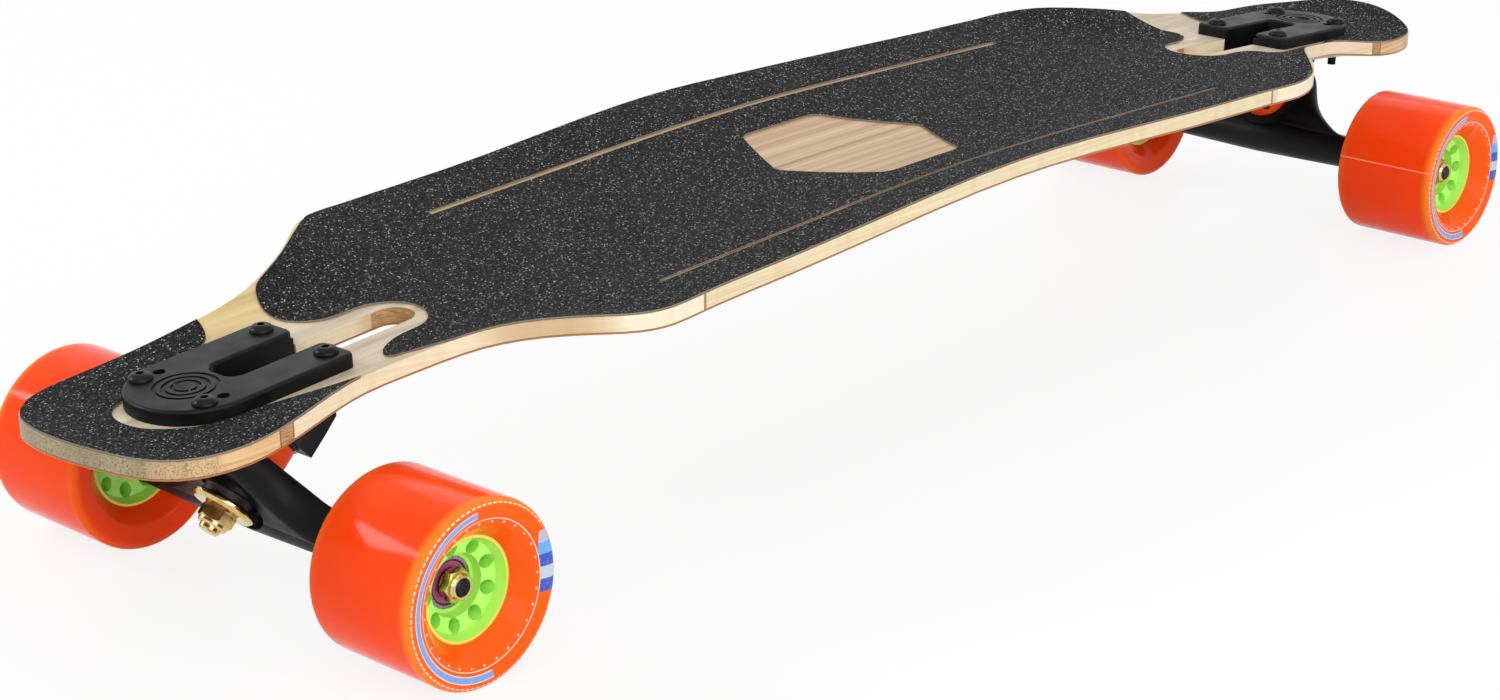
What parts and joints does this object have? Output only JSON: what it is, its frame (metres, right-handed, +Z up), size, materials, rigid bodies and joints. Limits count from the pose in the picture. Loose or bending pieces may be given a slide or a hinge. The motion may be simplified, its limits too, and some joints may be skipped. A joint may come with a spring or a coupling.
{
  "type": "longboard skateboard",
  "caption": "Drop-through longboard: cambered, dished wooden deck with black grip, reverse-kingpin trucks that steer on bushings, and wide urethane wheels on bearings.",
  "frame": {"origin": "on the ground under the middle of the board", "axes": "+X along the board to its tail, +Y to the left of a rider who faces the tail, +Z up"},
  "size_m": [0.9672, 0.2704, 0.1287],
  "materials": {
    "wood": "clear satin lacquer over pale bamboo",
    "laminate": "clear-coated glass laminate",
    "grip": "coarse black grit",
    "black_metal": "satin black",
    "black_hardware": "black oxide",
    "gold_steel": "yellow zinc plating on steel",
    "dark_steel": "plain steel",
    "steel": "ground steel",
    "shield": "magenta shield",
    "bushing": "satin urethane",
    "cup_plastic": "moulded plastic",
    "urethane": "glossy translucent orange urethane",
    "core_plastic": "moulded lime plastic"
  },
  "bodies": {
    "deck": {"deck_core": "wood", "deck_base": "laminate", "grip_nose": "grip", "grip_main": "grip", "grip_tail": "grip", "rear_baseplate": "black_metal", "rear_pivot_cup": "cup_plastic", "rear_kingpin": "gold_steel", "rear_kingpin_nut": "gold_steel", "rear_board_bushing": "bushing", "rear_road_bushing": "bushing", "rear_board_washer": "black_hardware", "rear_road_washer": "gold_steel", "rear_mounting_bolts": "black_hardware", "rear_mounting_nuts": "black_hardware", "front_baseplate": "black_metal", "front_pivot_cup": "cup_plastic", "front_kingpin": "gold_steel", "front_kingpin_nut": "gold_steel", "front_board_bushing": "bushing", "front_road_bushing": "bushing", "front_board_washer": "black_hardware", "front_road_washer": "gold_steel", "front_mounting_bolts": "black_hardware", "front_mounting_nuts": "black_hardware"},
    "rear_hanger": {"rear_hanger": "black_metal", "rear_axle": "dark_steel", "rear_bearing_inner_rings": "steel", "rear_speed_rings": "steel", "rear_bearing_spacers": "steel", "rear_axle_nuts": "gold_steel"},
    "front_hanger": {"front_hanger": "black_metal", "front_axle": "dark_steel", "front_bearing_inner_rings": "steel", "front_speed_rings": "steel", "front_bearing_spacers": "steel", "front_axle_nuts": "gold_steel"},
    "rear_left_wheel": {"rear_left_tyre": "urethane", "rear_left_core": "core_plastic", "rear_left_bearing_outer_rings": "steel", "rear_left_bearing_shields": "shield", "rear_left_bearing_balls": "steel"},
    "rear_right_wheel": {"rear_right_tyre": "urethane", "rear_right_core": "core_plastic", "rear_right_bearing_outer_rings": "steel", "rear_right_bearing_shields": "shield", "rear_right_bearing_balls": "steel"},
    "front_left_wheel": {"front_left_tyre": "urethane", "front_left_core": "core_plastic", "front_left_bearing_outer_rings": "steel", "front_left_bearing_shields": "shield", "front_left_bearing_balls": "steel"},
    "front_right_wheel": {"front_right_tyre": "urethane", "front_right_core": "core_plastic", "front_right_bearing_outer_rings": "steel", "front_right_bearing_shields": "shield", "front_right_bearing_balls": "steel"}
  },
  "joints": [
    {"name": "rear_steer", "type": "hinge", "parent": "deck", "child": "rear_hanger", "pos_m": [0.38936, 0, 0.05818], "axis": [0.6934, 0, 0.7206], "range_deg": [-12, 12], "stiffness_Nm_per_rad": 60, "deforming": ["rear_board_bushing", "rear_road_bushing"]},
    {"name": "front_steer", "type": "hinge", "parent": "deck", "child": "front_hanger", "pos_m": [-0.38936, 0, 0.05818], "axis": [-0.6934, 0, 0.7206], "range_deg": [-12, 12], "stiffness_Nm_per_rad": 60, "deforming": ["front_board_bushing", "front_road_bushing"]},
    {"name": "rear_left_spin", "type": "hinge", "parent": "rear_hanger", "child": "rear_left_wheel", "pos_m": [0.38157, 0, 0.04], "axis": [0, 1, 0], "continuous": true},
    {"name": "rear_right_spin", "type": "hinge", "parent": "rear_hanger", "child": "rear_right_wheel", "pos_m": [0.38157, 0, 0.04], "axis": [0, 1, 0], "continuous": true},
    {"name": "front_left_spin", "type": "hinge", "parent": "front_hanger", "child": "front_left_wheel", "pos_m": [-0.38157, 0, 0.04], "axis": [0, 1, 0], "continuous": true},
    {"name": "front_right_spin", "type": "hinge", "parent": "front_hanger", "child": "front_right_wheel", "pos_m": [-0.38157, 0, 0.04], "axis": [0, 1, 0], "continuous": true}
  ]
}
